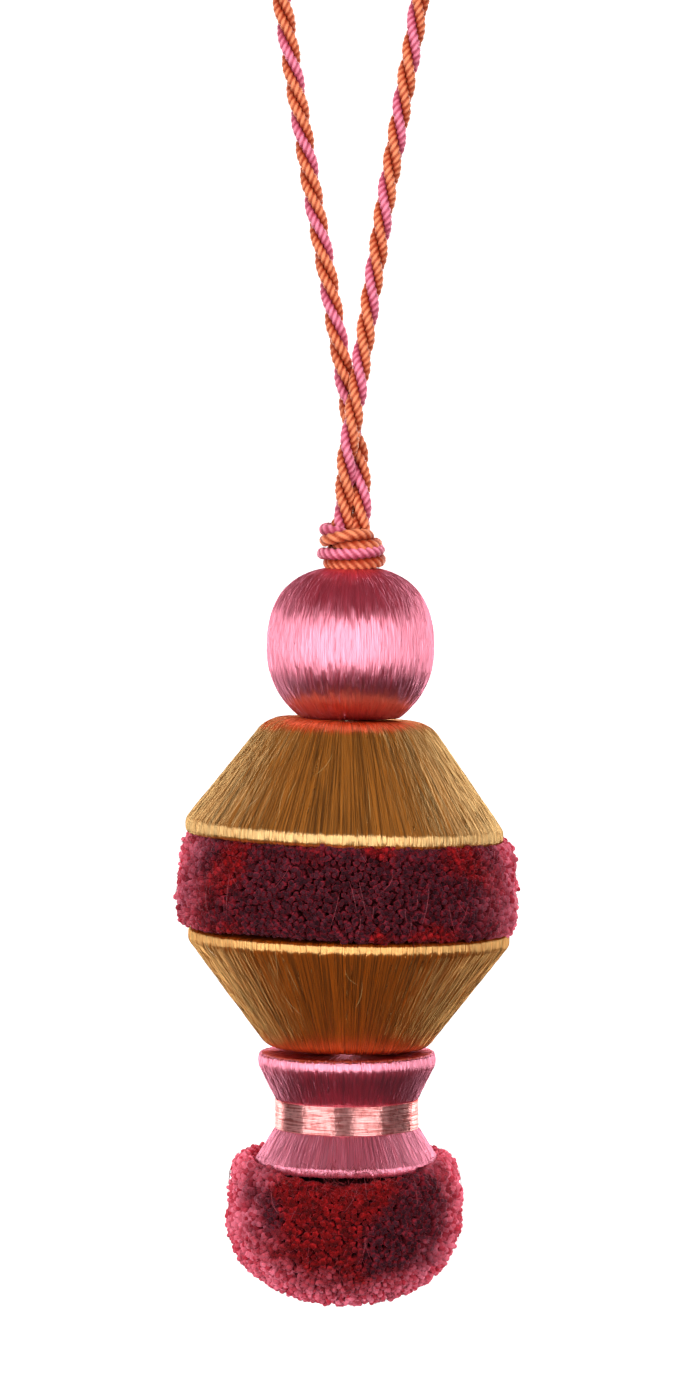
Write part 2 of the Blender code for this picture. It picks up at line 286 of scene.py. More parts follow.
PINK_IN_FRONT_LEFT = (-110.5, -95.2, -80.0, -64.3, -49.4, -34.2)
PINK_IN_FRONT_RIGHT = (-30.5, -45.2, -60.3, -75.3, -90.6, -104.3)


def loop_route():
    """Up the leg that ends on the right, over the top and down the other leg."""
    height, middle, half, turn = np.array(LEGS, float).T
    across = half * np.cos(np.radians(turn))
    towards = half * np.sin(np.radians(turn))
    up = np.stack([middle + across, towards, height], axis=1)
    down = np.stack([middle - across, -towards, height], axis=1)[::-1]
    return np.concatenate([up, [(0.0, 0.0, LOOP_TOP)], down])


def distance_along(line):
    """How far each point of a line is from its start, measured along it."""
    return np.concatenate([[0.0], np.cumsum(np.linalg.norm(np.diff(line, axis=0), axis=1))])


def spline_through(knots, values, wanted):
    """A natural cubic spline: each span is a cubic, and slope and curvature run on at each knot."""
    gaps = np.diff(knots)
    slopes = np.diff(values, axis=0) / gaps[:, None]
    size = len(knots)
    system = np.eye(size)
    target = np.zeros_like(values)
    for i in range(1, size - 1):
        system[i, i - 1 : i + 2] = gaps[i - 1], 2 * (gaps[i - 1] + gaps[i]), gaps[i]
        target[i] = 6 * (slopes[i] - slopes[i - 1])
    bend = np.linalg.solve(system, target)
    span = np.clip(np.searchsorted(knots, wanted, side="right") - 1, 0, size - 2)
    gap = gaps[span][:, None]
    before = (knots[span + 1] - wanted)[:, None] / gap
    after = 1 - before
    straight = before * values[span] + after * values[span + 1]
    curved = (before**3 - before) * bend[span] + (after**3 - after) * bend[span + 1]
    return straight + curved * gap**2 / 6


def evenly_spaced(line, spacing):
    """Points a spacing apart on a line."""
    along = distance_along(line)
    even = np.linspace(0, along[-1], round(along[-1] / spacing) + 1)
    return np.stack([np.interp(even, along, line[:, axis]) for axis in range(3)], axis=1)


def smooth_line(route, spacing):
    """Points a spacing apart on one smooth curve through the route."""
    route = np.array(route, float)
    along = distance_along(route)
    fine = spline_through(along, route, np.linspace(0, along[-1], 4000))
    return evenly_spaced(fine, spacing)


CORD_STEP = 0.17
loop_line = smooth_line(loop_route(), CORD_STEP)
print("cord length", round(distance_along(loop_line)[-1], 1), "mm")


# %% [markdown]
# ## Plies and yarns
# At every point of the cord's line there is a small cross of two directions square to the line.
# A ply's middle goes round that cross once in each lay length. The ply's own ring of points then
# goes round its middle, a little further out where a yarn bulges and nearer in the groove between
# two yarns.


# %% A laid cord along a line
PLY_COUNT = 3
PLY_OFFSET = 0.95
PLY_RADIUS = 0.93
PLY_SIDES = 14
YARNS_IN_PLY = 3
YARN_PITCH = 2.75
YARN_GROOVE = 0.34


def unit(vectors):
    return vectors / np.linalg.norm(vectors, axis=-1, keepdims=True)


def cross_directions(line, upright):
    """Two directions square to a line at each point, the second as near as can be to upright."""
    forward = unit(np.gradient(line, axis=0))
    lean = forward @ np.array(upright, float)
    second = unit(np.array(upright, float) - lean[:, None] * forward)
    return np.cross(second, forward), second


def laid_cord(name, line, turns, upright, size=1.0):
    """Three ply tubes round a line. turns says how many times the pink ply has gone round so far.

    A ply's middle is the line plus an offset in the direction of its turn. A point of its skin is
    that middle plus a radius times (1 - groove * (1 - |cos|)), where the cosine has half as many
    waves round the ply as it has yarns and slides on as the yarns wind along it."""
    first, second = cross_directions(line, upright)
    points, quads, triangles, pink, depth, along_yarn = [], [], [], [], [], []
    along = distance_along(line)
    rows = len(line)
    for ply in range(PLY_COUNT):
        angle = math.tau * (turns + ply / PLY_COUNT)[:, None]
        out = np.cos(angle) * first + np.sin(angle) * second
        middle = line + out * PLY_OFFSET * size
        forward = unit(np.gradient(middle, axis=0))
        out = unit(out - (out * forward).sum(1)[:, None] * forward)
        side = np.cross(forward, out)
        around = np.linspace(0, math.tau, PLY_SIDES, endpoint=False)[None, :]
        twist = around - math.tau * along[:, None] / (YARN_PITCH * size)
        bulge = np.abs(np.cos(YARNS_IN_PLY / 2 * twist))
        radius = PLY_RADIUS * size * (1 - YARN_GROOVE * (1 - bulge))
        ring = np.cos(around)[..., None] * out[:, None] + np.sin(around)[..., None] * side[:, None]
        start = ply * (rows * PLY_SIDES + 2)
        points += [(middle[:, None] + ring * radius[..., None]).reshape(-1, 3), middle[[0, -1]]]
        quads.append(start + grid_quads(rows, PLY_SIDES, outward_rows=False))
        ends = start + rows * PLY_SIDES
        triangles.append(end_fan(start + np.arange(PLY_SIDES), ends, forward=False))
        last = start + (rows - 1) * PLY_SIDES + np.arange(PLY_SIDES)
        triangles.append(end_fan(last, ends + 1, forward=True))
        skin = np.cos(around) + 0 * radius
        pink.append(np.full(rows * PLY_SIDES + 2, float(ply == 0)))
        # High on the crowns outside the cord, low in the grooves and where the plies press together:
        # the material paints shade by it.
        depth.append(np.append((0.5 + 0.5 * skin) * (0.25 + 0.75 * bulge**2), [0, 0]))
        along_yarn.append(np.append(twist + 0 * radius, [0, 0]))
    values = {
        "pink": np.concatenate(pink),
        "raised": np.concatenate(depth),
        "yarn": np.concatenate(along_yarn),
    }
    points = np.concatenate(points) * MM
    return new_piece(name, points, np.concatenate(quads), np.concatenate(triangles), values)


def turns_from_marks(line, marks):
    """Turns of the pink ply along a line, where marks lists the rows at which it is in front."""
    along = distance_along(line)[marks]
    turns = -np.arange(len(marks), dtype=float)
    gap = np.diff(along)
    middle = int(np.argmax(gap))
    spare = round(gap[middle] / LAY_LENGTH) - 1
    turns[middle + 1 :] -= spare
    before = along[0] / LAY_LENGTH
    after = (distance_along(line)[-1] - along[-1]) / LAY_LENGTH
    along = np.concatenate([[0.0], along, [distance_along(line)[-1]]])
    turns = np.concatenate([[turns[0] + before], turns, [turns[-1] - after]])
    return np.interp(distance_along(line), along, turns) - 0.25


half = len(loop_line) // 2
heights = loop_line[:, 2]
left_rows = [int(np.argmin(np.abs(heights[:half] - z))) for z in PINK_IN_FRONT_LEFT]
right_rows = [half + int(np.argmin(np.abs(heights[half:] - z))) for z in PINK_IN_FRONT_RIGHT]
loop_turns = turns_from_marks(loop_line, left_rows + right_rows)
hanging_cord = laid_cord("hanging_cord", loop_line, loop_turns, upright=(0, 1, 0))

# %% [markdown]
# ## The knot
# The same cord is wrapped twice round both legs and pulled tight on top of the ball. Its line is a
# flat helix that goes round and down, and both ends tuck in between the legs. A second table says
# how far the pink ply has gone round the cord at each stage, so that its stripe shows in the same
# places as in the photograph.

# %% The knot's wraps
# Columns: turn in degrees, height, radius.
KNOT_WRAPS = (
    (50, -118.0, 2.4),
    (110, -117.6, 3.3),
    (180, -119.1, 4.0),
    (270, -120.0, 4.1),
    (360, -120.8, 3.4),
    (450, -121.7, 3.8),
    (540, -122.9, 4.1),
    (630, -123.4, 4.2),
    (720, -122.8, 4.5),
    (770, -122.2, 4.0),
    (830, -121.6, 2.4),
)
KNOT_X = 0.5
KNOT_CORD_SIZE = 1.2
# Columns: turn in degrees, turns of the pink ply round the cord.
KNOT_PINK = (
    (50, 0.75),
    (180, 0.36),
    (270, 0.03),
    (400, -0.25),
    (560, -0.60),
    (720, -0.68),
    (830, -1.00),
)


def knot_line():
    """A helix whose height and radius follow the table of wraps by the turn in degrees, and
    how far the pink ply has gone round the cord at each of its points: 0.25 is up, 0.5 out."""
    table = np.array(KNOT_WRAPS, float)
    degrees = np.linspace(table[0, 0], table[-1, 0], 1200)
    height, radius = spline_through(table[:, 0], table[:, 1:], degrees).T
    angle = np.radians(degrees)
    helix = np.stack([KNOT_X + radius * np.cos(angle), radius * np.sin(angle), height], axis=1)
    line = evenly_spaced(helix, CORD_STEP)
    reached = np.interp(distance_along(line), distance_along(helix), degrees)
    return line, np.interp(reached, *np.array(KNOT_PINK, float).T)


wraps_line, wraps_turns = knot_line()
knot_cord = laid_cord("knot_cord", wraps_line, wraps_turns, upright=(0, 0, 1), size=KNOT_CORD_SIZE)

# %% [markdown]
# ## The cord's finish
# The yarn is a soft mercerised cotton or viscose with a low sheen. Its colour is painted lighter on
# the crown of each yarn, and painted shade makes it deep and saturated in the grooves and where the
# plies press together. The mesh carries three numbers for every point: which ply it is on, how far
# it stands out, and its yarn. The material mixes its colours by the first two.

# %% The cord's finish
# The groove colours are painted shade, for the grooves and where the plies press together.
ORANGE_CROWN = (0.84, 0.255, 0.118)
ORANGE_GROOVE_SHADE = (0.32, 0.026, 0.005)
PINK_CROWN = (0.88, 0.240, 0.360)
PINK_GROOVE_SHADE = (0.36, 0.036, 0.075)


def cord_finish():
    finish = Finish("cord_yarn")
    pink = finish.attribute("pink")
    raised = finish.attribute("raised")
    fibres = finish.noise(finish.place(), 2600.0, detail=3.0, roughness=0.7)
    patch = finish.noise(finish.place(), 160.0)
    # Painted shade: the yarn darkens towards the grooves and the inner sides of the plies.
    crown = finish.ease(raised + (fibres - 0.5) * 0.30 + (patch - 0.5) * 0.25, 0.16, 0.90)
    orange = finish.blend(crown, ORANGE_GROOVE_SHADE, ORANGE_CROWN)
    rose = finish.blend(crown, PINK_GROOVE_SHADE, PINK_CROWN)
    finish.set(Base_Color=finish.blend(pink, orange, rose), Roughness=0.60 - 0.15 * crown)
    finish.set(Specular_Tint=(1.0, 0.62, 0.5, 1.0))
    finish.set(Sheen_Weight=0.12, Sheen_Roughness=0.4, Sheen_Tint=(1.0, 0.6, 0.45, 1.0))
    finish.bump(fibres, 0.05 * MM, 0.6)
    return finish


cord_yarn = cord_finish()
dress(hanging_cord, cord_yarn, "cord", "hanging_loop")
dress(knot_cord, cord_yarn, "cord", "knot")
route = loop_line[::6]
if not np.allclose(route[-1], loop_line[-1]):
    route = np.concatenate([route, loop_line[-1:]])

# %% [markdown]
# ## Moulds covered in thread
# Under the silk each of these is a turned wooden mould with a hole down its middle. The maker
# carries floss through the hole and over the outside, again and again, until threads lie side by
# side all the way round. They catch the light as brushed metal does: a bright band crosses them
# wherever the surface is upright.
#
# The mould is a profile turned round its axis. The threads are a relief on it, a row of narrow
# humps with uneven widths. A bump in the material alone would give the gloss but a perfectly
# smooth edge to the outline, so the humps are in the mesh and only the fibres are left to a bump.

# %% Outlines of the moulds
BALL_RADIUS = 15.0
BALL_SQUARENESS = 2.5
BALL_FOOT = -12.2
MOULDS = {
    "ball": {"x": 0.35, "z": -139.85, "tilt": 0.0},
    "upper_cone": {
        "x": -0.4,
        "z": -163.5,
        "tilt": 2.4,
        "corners": ((14.5, 11.1, 6.0), (28.6, -7.8, 2.4), (28.5, -10.2, 0.8)),
    },
    "lower_cone": {
        "x": -0.15,
        "z": -201.5,
        "tilt": 1.2,
        "corners": ((28.9, 11.1, 0.6), (28.9, 9.0, 2.0), (14.36, -10.0, 3.5)),
    },
    "spool": {
        "x": -0.3,
        "z": -222.8,
        "tilt": 0.0,
        "corners": (
            (15.6, 10.4, 0.6),
            (16.3, 8.9, 3.0),
            (13.0, 2.3, 2.0),
            (12.2, 1.0, 3.0),
            (12.2, -2.4, 3.0),
            (13.2, -3.8, 2.0),
            (16.5, -9.0, 0.9),
            (16.4, -10.4, 0.5),
        ),
    },
}


def fillet(before, corner, after, radius):
    """The arc that rounds a corner and touches the straight runs on both sides of it."""
    before, corner, after = (np.array(p, float) for p in (before, corner, after))
    into = unit(corner - before)
    out = unit(after - corner)
    turn = math.acos(np.clip(into @ out, -1, 1))
    start = corner - into * radius * math.tan(turn / 2)
    inward = np.array((into[1], -into[0]))
    inward = inward if inward @ out > 0 else -inward
    angles = np.linspace(0, turn, 3 + round(turn * radius / 0.65))[:, None]
    return start + inward * radius * (1 - np.cos(angles)) + into * radius * np.sin(angles)


def subdivided(line, longest):
    """The same line with extra points, so that no step is longer than the longest."""
    pieces = []
    for start, end in zip(line, line[1:], strict=False):
        count = max(1, math.ceil(np.linalg.norm(end - start) / longest))
        pieces.append(start + (end - start) * np.linspace(0, 1, count, endpoint=False)[:, None])
    return np.concatenate([*pieces, line[-1:]])


def cornered_outline(corners, longest=2.4):
    """From the axis out over the top, down the side and back to the axis under the foot."""
    stops = [(0.0, corners[0][1]), *[c[:2] for c in corners], (0.0, corners[-1][1])]
    line = [np.array(stops[:1])]
    for i, corner in enumerate(corners, start=1):
        line.append(fillet(stops[i - 1], stops[i], stops[i + 1], corner[2]))
    side = subdivided(np.concatenate(line[1:]), longest)
    return np.concatenate([stops[:1], side, stops[-1:]])


def ball_outline():
    """Above the middle |r|^p + |z|^p is constant, which is fuller than a circle. Below it is one."""
    share = np.sin(np.linspace(0.0, math.pi / 2, 22))
    top = BALL_RADIUS * (1 - share**BALL_SQUARENESS) ** (1 / BALL_SQUARENESS)
    angles = np.linspace(0, math.asin(-BALL_FOOT / BALL_RADIUS), 16)[1:]
    upper = np.stack([BALL_RADIUS * share, top], axis=1)
    lower = BALL_RADIUS * np.stack([np.cos(angles), -np.sin(angles)], axis=1)
    return subdivided(np.concatenate([upper, lower, [(0.0, BALL_FOOT)]]), 1.3)


# %% A mould and the threads over it
def outline_normals(outline):
    """The direction out of the surface at each point of an outline, in radius and height."""
    ahead = unit(np.gradient(outline, axis=0))
    return np.stack([-ahead[:, 1], ahead[:, 0]], axis=1)


def thread_humps(columns, threads, dice):
    """For each column: how high it stands on its thread, and which thread that is.

    Threads have uneven widths that add up to the whole turn. Across a thread the height is
    the square root of 1 - t squared, where t goes from -1 to 1."""
    edges = np.concatenate([[0.0], np.cumsum(dice.uniform(0.55, 1.45, threads))])
    edges /= edges[-1]
    place = (np.arange(columns) + 0.5) / columns
    thread = np.searchsorted(edges, place, side="right") - 1
    across = 2 * (place - edges[thread]) / (edges[thread + 1] - edges[thread]) - 1
    return np.sqrt(np.clip(1 - across**2, 0, 1)), thread


def stand(points, mould):
    """Leans a mould's points to the right by its tilt and moves them to its place."""
    tilt = math.radians(mould["tilt"])
    x = points[..., 0] * math.cos(tilt) + points[..., 2] * math.sin(tilt)
    z = points[..., 2] * math.cos(tilt) - points[..., 0] * math.sin(tilt)
    return np.stack([x + mould["x"], points[..., 1], z + mould["z"]], axis=-1)


def covered_mould(name, outline, mould, threads, columns, relief, seed):
    """A turned outline with thread humps. A point's distance out of the surface is the relief
    times the hump, plus a small amount that differs from thread to thread and swells and
    shrinks slowly along it."""
    dice = np.random.default_rng(seed)
    hump, thread = thread_humps(columns, threads, dice)
    proud = dice.uniform(-0.5, 0.5, threads)[thread]
    swell = dice.uniform(0, math.tau, threads)[thread]
    wave = dice.uniform(4.0, 9.0, threads)[thread]
    along = distance_along(outline)[1:-1, None]
    radius = outline[1:-1, :1]
    out = outline_normals(outline)[1:-1]
    slow = np.sin(math.tau * along / wave + swell)
    height = relief * np.clip(radius / 8.0, 0.1, 1.0) * (hump + 0.45 * proud + 0.55 * slow - 0.6)
    angle = math.tau * (np.arange(columns) + 0.5) / columns
    angle = angle + 0.010 * np.sin(along / 6.0 + swell) * (radius > 0)
    r = radius + out[:, :1] * height
    z = outline[1:-1, 1:] + out[:, 1:] * height
    grid = np.stack([r * np.cos(angle), r * np.sin(angle), z + 0 * r], axis=-1)
    ends = np.array([(0, 0, outline[0, 1]), (0, 0, outline[-1, 1])], float)
    points = np.concatenate([grid.reshape(-1, 3), ends])
    rows = len(outline) - 2
    first = end_fan(np.arange(columns), rows * columns, forward=True)
    last = end_fan((rows - 1) * columns + np.arange(columns), rows * columns + 1, forward=False)
    tone = dice.uniform(0, 1, threads)[thread]
    values = {
        "hump": np.append(np.broadcast_to(hump, r.shape), [0.5, 0.5]),
        "tone": np.append(np.broadcast_to(tone, r.shape), [0.5, 0.5]),
    }
    quads = grid_quads(rows, columns)
    return new_piece(name, stand(points, mould) * MM, quads, np.concatenate([first, last]), values)


outlines = {name: cornered_outline(m["corners"]) for name, m in MOULDS.items() if "corners" in m}
outlines["ball"] = ball_outline()
THREADS = {"ball": 300, "upper_cone": 430, "lower_cone": 430, "spool": 300}
covered = {}
for number, (name, threads) in enumerate(THREADS.items()):
    covered[name] = covered_mould(
        name + "_thread", outlines[name], MOULDS[name], threads, 3 * threads, 0.12, 20 + number
    )

# %% [markdown]
# ## The floss finish
# Silk floss has two scales of streaks: single threads, and bundles of them that were laid on in
# one pass. Both are noise that is stretched along the thread. A third noise paints shade into the
# thin partings between threads, and the top of each thread's hump is painted a little lighter than
# its sides. The noise is read on a circle round the mould's axis, so it has no seam.
# The gloss is tinted, since the light that comes back has been through several coloured fibres.
# The anisotropy spreads it across the threads.
#
# Where two moulds meet, light passes from one dyed silk to the other and the joint glows a deep
# orange red. That reflected light is painted into the colour, and so are painted shade on the parts
# that face down and in the joints, and a painted highlight on the spool's lower flare. Masks on the
# height mix these colours in.


# %% The floss finish
def noise_round(finish, axis_x, cells, stretch, **kind):
    """Noise that is read on a circle round an upright axis and stretched along the axis."""
    x, y, z = finish.part_of(finish.place())
    flat = finish.vector(x - axis_x * MM, y, 0.0)
    circle = finish.node("ShaderNodeVectorMath", {"operation": "NORMALIZE"}, {0: flat})
    a, b, _ = finish.part_of(circle)
    return finish.noise(finish.vector(a * cells, b * cells, z / (stretch * MM)), 1.0, **kind)


def floss_finish(name, axis_x, dye, painted_light_bands):
    """Threads from dark to light, with painted shade in a parting here and there and a tinted gloss
    that is brighter the higher the dye's density, which is an index of refraction. Each band of
    painted light is the height where another colour starts, the height where it is complete, and
    that colour. The colours are painted shade, painted highlights and painted reflected light."""
    finish = Finish(name)
    fine = noise_round(finish, axis_x, 105.0, 16.0, detail=2.0, roughness=0.6)
    bundle = noise_round(finish, axis_x, 11.0, 22.0, detail=1.0)
    slope = noise_round(finish, axis_x, 90.0, 6.0, detail=3.0)
    hump = finish.attribute("hump")
    tone = finish.attribute("tone")
    # The hump term paints the top of each thread lighter, and the parting below paints shade between
    # threads.
    streak = finish.ease(fine + bundle * 0.08 + tone * 0.14 + hump * 0.20, 0.54, 0.84)
    parting = noise_round(finish, axis_x, 115.0, 30.0, detail=1.0) - 0.5
    streak = streak * (0.2 + 0.8 * finish.ease(parting * parting, 0.0, 0.004))
    colour = finish.blend(streak, dye["dark"], dye["light"])
    height = finish.part_of(finish.place())[2] / MM
    # Each band mixes its painted colour in by height.
    for low, high, painted_colour in painted_light_bands:
        near = finish.ease(height + (fine - 0.5) * 3.0 + (slope - 0.5) * 2.0, low, high)
        colour = finish.blend(near, colour, finish.blend(streak, [0.25 * c for c in painted_colour], painted_colour))
    finish.set(Base_Color=colour, Roughness=0.44 - 0.15 * streak)
    finish.set(Anisotropic=0.97, IOR=dye["density"])
    finish.set(Specular_IOR_Level=1.0, Specular_Tint=(*dye["gloss"], 1.0))
    finish.bump(fine * 0.3 + slope * 0.7, 0.55 * MM, 0.8)
    return finish


PINK = {
    "light": (0.74, 0.062, 0.102),
    "dark": (0.34, 0.010, 0.022),
    "gloss": (1.0, 0.38, 0.51),
    "density": 4.0,
}
GOLD = {
    "light": (0.43, 0.128, 0.012),
    "dark": (0.062, 0.015, 0.0015),
    "gloss": (1.0, 0.68, 0.30),
    "density": 2.8,
}
# The lower cone's gold is this darker, redder copy of the same yarn: painted shade, since that cone
# faces down.
GOLD_SHADED = {
    "light": (0.43, 0.080, 0.002),
    "dark": (0.048, 0.009, 0.001),
    "gloss": (1.0, 0.60, 0.22),
    "density": 2.8,
}
# This pale pink is a painted highlight on the spool's lower flare and foot, which face up.
PINK_PAINTED_HIGHLIGHT = (1.0, 0.175, 0.270)
# This deep pink is painted shade on the lower half of the ball and on the spool's upper flare and
# waist.
PINK_PAINTED_SHADE = (0.36, 0.011, 0.022)
# This orange is painted reflected light from the neighbouring silk, on the upper cone's top and the
# lower cone's foot.
REFLECTED_ORANGE = (0.82, 0.065, 0.010)
# This dark wine is painted shade in the joints, at the foot of the ball and of the lower cone.
JOINT_SHADE = (0.20, 0.006, 0.012)
# This orange red is painted shade with reflected light in it, on the spool's top disc under the lower
# cone.
SPOOL_TOP_SHADE_AND_REFLECTION = (0.42, 0.026, 0.006)
# This orange is painted reflected light on the ball just above its foot.
BALL_FOOT_REFLECTION = (0.60, 0.040, 0.008)
BALL_PAINTED_LIGHT = ((-143.4, -145.8, PINK_PAINTED_SHADE), (-147.4, -148.4, BALL_FOOT_REFLECTION), (-149.8, -151.0, JOINT_SHADE))
UPPER_PAINTED_LIGHT = ((-154.3, -153.1, REFLECTED_ORANGE),)
LOWER_PAINTED_LIGHT = ((-206.8, -211.0, REFLECTED_ORANGE), (-210.8, -211.6, JOINT_SHADE))
SPOOL_PAINTED_LIGHT = ((-214.6, -216.4, PINK_PAINTED_SHADE), (-223.8, -227.2, PINK_PAINTED_HIGHLIGHT), (-212.85, -212.5, SPOOL_TOP_SHADE_AND_REFLECTION))
FLOSS = (
    ("ball", "pink_floss_ball", PINK, BALL_PAINTED_LIGHT, "satin_pink"),
    ("upper_cone", "gold_floss_upper", GOLD, UPPER_PAINTED_LIGHT, "satin_gold"),
    ("lower_cone", "gold_floss_lower", GOLD_SHADED, LOWER_PAINTED_LIGHT, "satin_gold"),
    ("spool", "pink_floss_spool", PINK, SPOOL_PAINTED_LIGHT, "satin_pink"),
)
for name, label, dye, painted_light_bands, slot in FLOSS:
    dress(covered[name], floss_finish(label, MOULDS[name]["x"], dye, painted_light_bands), slot, name)

# %% [markdown]
# ## The binding at the waist
# A rose thread is wound round the narrowest part of the spool, turn beside turn. Here the humps run
# round the axis, so the gloss spreads up and down instead, and each light gives one bright upright
# patch. The thread shines almost as metal does, with a rose tint that grows at its edges.

# %% The binding
BINDING = {"x": -0.3, "z": -223.5, "tilt": 0.0}
BINDING_RADIUS = 12.95
BINDING_HALF = 2.6
BINDING_TURNS = 17
BINDING_COLUMNS = 150
BINDING_RELIEF = 0.10
BINDING_DEPTH = 1.6
POINTS_PER_TURN = 5


def wound_binding():
    """A ring whose outside is a row of humps, one for each turn: radius plus relief times
    the square root of 1 - t squared across a turn."""
    dice = np.random.default_rng(5)
    place = np.linspace(0, BINDING_TURNS, BINDING_TURNS * POINTS_PER_TURN + 1)
    turn = np.minimum(place.astype(int), BINDING_TURNS - 1)
    across = 2 * (place - turn) - 1
    hump = np.sqrt(np.clip(1 - across**2, 0, 1))
    proud = dice.uniform(-0.05, 0.05, BINDING_TURNS)[turn]
    height = BINDING_HALF * (1 - 2 * place / BINDING_TURNS)
    radius = BINDING_RADIUS + BINDING_RELIEF * hump + proud
    inner = BINDING_RADIUS - BINDING_DEPTH
    radius = np.concatenate([[inner], radius, [inner, inner]])
    height = np.concatenate([[BINDING_HALF], height, [-BINDING_HALF, BINDING_HALF]])
    angle = math.tau * np.arange(BINDING_COLUMNS) / BINDING_COLUMNS
    sag = 0.06 * np.sin(angle * 2 + 1.0)
    r = radius[:, None] + 0 * angle
    grid = np.stack([r * np.cos(angle), r * np.sin(angle), height[:, None] + sag + 0 * r], axis=-1)
    placed = stand(grid.reshape(-1, 3), BINDING) * MM
    return new_piece("binding_thread", placed, grid_quads(len(radius), BINDING_COLUMNS))


def binding_finish():
    finish = Finish("rose_satin_thread")
    across = noise_round(finish, BINDING["x"], 3.0, 0.30, detail=2.0)
    around = noise_round(finish, BINDING["x"], 16.0, 1.2, detail=2.0)
    streak = finish.ease(across * 0.7 + around * 0.3, 0.38, 0.62)
    colour = finish.blend(streak, (0.52, 0.16, 0.15), (1.0, 0.50, 0.48))
    finish.set(Base_Color=colour, Roughness=0.25 + 0.08 * around)
    finish.set(Specular_Tint=(0.40, 0.18, 0.17, 1.0))
    finish.set(Metallic=0.8, Anisotropic=0.9, Anisotropic_Rotation=0.25)
    finish.bump(around * 0.6 + across * 0.4, 0.16 * MM, 0.5)
    return finish


dress(wound_binding(), binding_finish(), "satin_rose", "waist_binding")

# %% [markdown]
# ## The cut pile
# The band and the pompom are made of yarn that is tied down and cut short, so that thousands of
# small ends stand side by side. Each end is a tuft about a millimetre wide. A tuft repeated
# thousands of times has to be small: five sides, three rings and a tip, and numpy copies it to
# every place at once. Places lie in rows down the outline, with as many to a row as fit round it.
#
# Each tuft leans and reaches out a little differently, and near the rims it leans away over them,
# which gives the pile its ragged edge.

# %% Tufts on a turned surface
TUFT_SPACING = 0.84
TUFT_SIDES = 5
# Columns: share of the tuft's length, share of its radius.
TUFT_RINGS = ((0.0, 0.80), (0.84, 1.0), (0.965, 0.70))
UP = np.array((0.0, 0.0, 1.0))


def tuft_places(outline, spacing, dice):
    """Angle, radius, height and outward direction of each tuft, in rows down an outline."""
    even = evenly_spaced(np.column_stack([outline, np.zeros(len(outline))]), spacing * 0.88)[:, :2]
    out = outline_normals(even)
    places = []
    for row, (radius, height) in enumerate(even):
        count = max(1, round(math.tau * radius / spacing))
        angle = math.tau * (np.arange(count) + 0.5 * (row % 2)) / count
        angle += dice.uniform(-0.3, 0.3, count) * math.tau / count
        slide = dice.uniform(-0.28, 0.28, count) * spacing
        r = radius + slide * out[row, 1]
        z = height - slide * out[row, 0]
        places.append(np.stack([angle, r, z, out[row, 0] + 0 * angle, out[row, 1] + 0 * angle], axis=1))
    return np.concatenate(places)


def flat_directions(angle):
    """The level direction away from the axis at each angle."""
    return np.stack([np.cos(angle), np.sin(angle), 0 * angle], axis=-1)


def in_space(flat, radius, height):
    """Points, or directions, at a radius along their level direction and at a height."""
    return flat * radius[:, None] + UP * height[:, None]


def waves(points, count, lengths, seed):
    """The sum of this many sine waves that run in directions of their own through the points."""
    dice = np.random.default_rng(seed)
    directions = unit(dice.normal(0, 1, (count, 3))) / dice.uniform(*lengths, (count, 1))
    return np.sin(math.tau * (points @ directions.T + dice.uniform(0, 1, count))).sum(axis=1)


def patches(points, spots):
    """How red the yarn is dyed at each point, from 0 to 1: slow waves, plus the spots of the
    front given as (x, height, radius, amount)."""
    value = 0.5 + 0.1 * waves(points, 9, (9.0, 24.0), 40)
    for x, height, radius, amount in spots:
        near = np.exp(-((points[:, 0] - x) ** 2 + (points[:, 2] - height) ** 2) / radius**2)
        value = value + amount * near * (points[:, 1] < 0)
    return np.clip(value, 0, 1)


